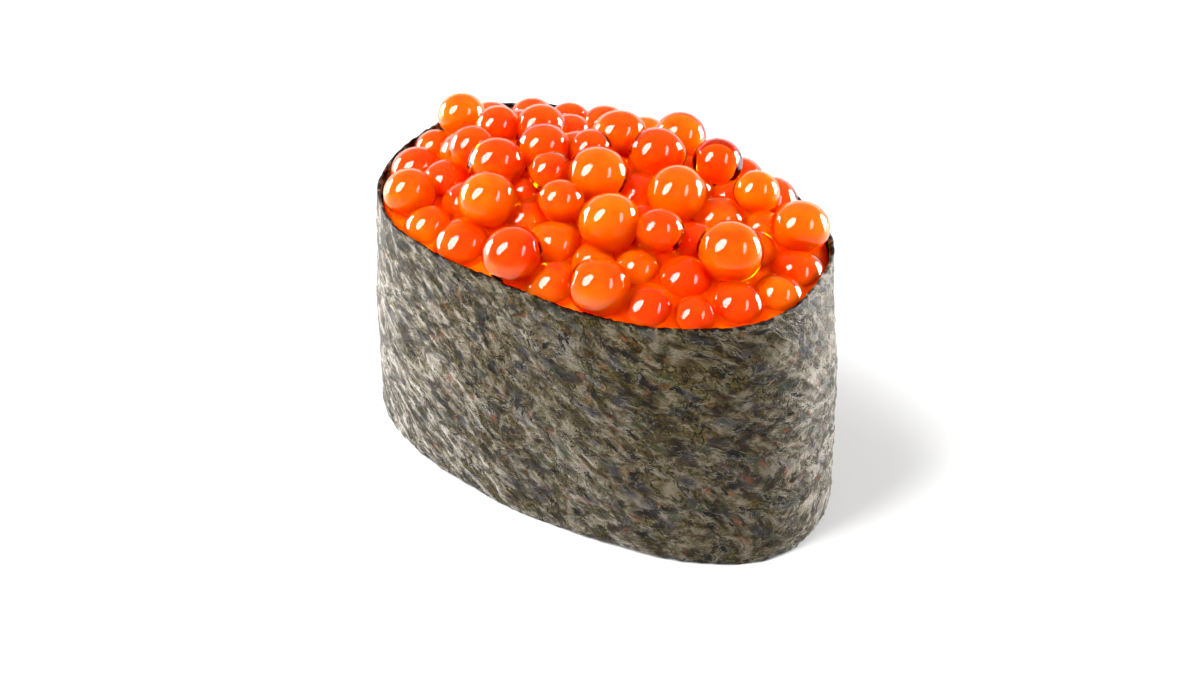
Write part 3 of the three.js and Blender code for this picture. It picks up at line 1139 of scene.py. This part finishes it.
def make_surround(stage):
    """A bright backdrop under a dim ceiling, dim in front.

    Its strength fades by height from the level of the horizon to the ceiling's; the horizon's
    own level rises from the front to the side behind, away from the camera.
    """
    world = bpy.data.worlds.new("surround")
    world.use_nodes = True
    nodes, links = world.node_tree.nodes, world.node_tree.links

    def fade(value, low, high, to_low, to_high):
        """The value's range from low to high, spread smoothly over the new range."""
        node = nodes.new("ShaderNodeMapRange")
        node.interpolation_type = "SMOOTHSTEP"
        links.new(value, node.inputs[0])
        for socket, number in zip(node.inputs[1:3], (low, high)):
            socket.default_value = number
        for socket, end in zip(node.inputs[3:5], (to_low, to_high)):
            if isinstance(end, bpy.types.NodeSocket):
                links.new(end, socket)
            else:
                socket.default_value = end
        return node.outputs[0]

    direction = nodes.new("ShaderNodeTexCoord").outputs["Generated"]
    parts = nodes.new("ShaderNodeSeparateXYZ")
    links.new(direction, parts.inputs[0])
    behind = nodes.new("ShaderNodeVectorMath")
    behind.operation = "DOT_PRODUCT"
    behind.inputs[1].default_value = (-math.sin(stage.azimuth), math.cos(stage.azimuth), 0)
    links.new(direction, behind.inputs[0])
    horizon = fade(behind.outputs["Value"], -0.1, 0.5, stage.front, stage.backdrop)
    strength = fade(parts.outputs["Z"], 0.04, 0.35, horizon, stage.ceiling)
    links.new(strength, nodes["Background"].inputs["Strength"])
    nodes["Background"].inputs["Color"].default_value = (1, 1, 1, 1)
    bpy.context.scene.world = world


def make_view(stage):
    """The light's bounces and a plain view transform with a raised black level."""
    scene = bpy.context.scene
    # light crosses many clear eggs on its way in and out
    scene.cycles.max_bounces = 28
    scene.cycles.transmission_bounces = 28
    scene.view_settings.view_transform = "Standard"
    scene.view_settings.use_curve_mapping = True
    scene.view_settings.curve_mapping.black_level = (stage.black_level,) * 3
    scene.view_settings.curve_mapping.update()


# ---- operators and panel ----


class GUNKAN_OT_nori(bpy.types.Operator):
    """Make the band of nori"""

    bl_idname = "gunkan.nori"
    bl_label = "Nori"

    def execute(self, context):
        make_nori(context.scene.gunkan_oval, context.scene.gunkan_nori)
        return {"FINISHED"}


class GUNKAN_OT_rice(bpy.types.Operator):
    """Make the bed of rice"""

    bl_idname = "gunkan.rice"
    bl_label = "Rice"

    def execute(self, context):
        s = context.scene
        make_rice(s.gunkan_oval, s.gunkan_nori, s.gunkan_rice)
        return {"FINISHED"}


class GUNKAN_OT_roe(bpy.types.Operator):
    """Make the heap of roe"""

    bl_idname = "gunkan.roe"
    bl_label = "Roe"

    def execute(self, context):
        s = context.scene
        make_roe(s.gunkan_oval, s.gunkan_nori, s.gunkan_rice, s.gunkan_roe)
        return {"FINISHED"}


class GUNKAN_OT_stage(bpy.types.Operator):
    """Make the floor, lights and camera"""

    bl_idname = "gunkan.stage"
    bl_label = "Stage"

    def execute(self, context):
        nori, stage = context.scene.gunkan_nori, context.scene.gunkan_stage
        make_floor(stage)
        make_surround(stage)
        make_view(stage)
        make_lights(nori, stage)
        make_camera(nori, stage)
        return {"FINISHED"}


class GUNKAN_PT_panel(bpy.types.Panel):
    """The pieces of the sushi and their settings"""

    bl_label = "Gunkan Sushi"
    bl_space_type = "VIEW_3D"
    bl_region_type = "UI"
    bl_category = "Gunkan"

    def draw(self, context):
        for operator in OPERATORS:
            self.layout.operator(operator.bl_idname)
        for name, group in SETTINGS.items():
            box = self.layout.box()
            box.label(text=group.__doc__)
            for field in group.__annotations__:
                box.prop(getattr(context.scene, name), field)


OPERATORS = (GUNKAN_OT_nori, GUNKAN_OT_rice, GUNKAN_OT_roe, GUNKAN_OT_stage)
CLASSES = (*SETTINGS.values(), *OPERATORS, GUNKAN_PT_panel)


def register():
    """Add the classes, and each group of settings to the scene."""
    for cls in CLASSES:
        bpy.utils.register_class(cls)
    for name, group in SETTINGS.items():
        setattr(bpy.types.Scene, name, bpy.props.PointerProperty(type=group))


def unregister():
    """Take the settings and the classes away again."""
    for name in SETTINGS:
        delattr(bpy.types.Scene, name)
    for cls in reversed(CLASSES):
        bpy.utils.unregister_class(cls)


def main():
    """Add the classes and settings, then make every piece and the stage."""
    register()
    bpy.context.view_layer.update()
    for operator in OPERATORS:
        group, name = operator.bl_idname.split(".")
        getattr(getattr(bpy.ops, group), name)()


if __name__ == "__main__":
    main()
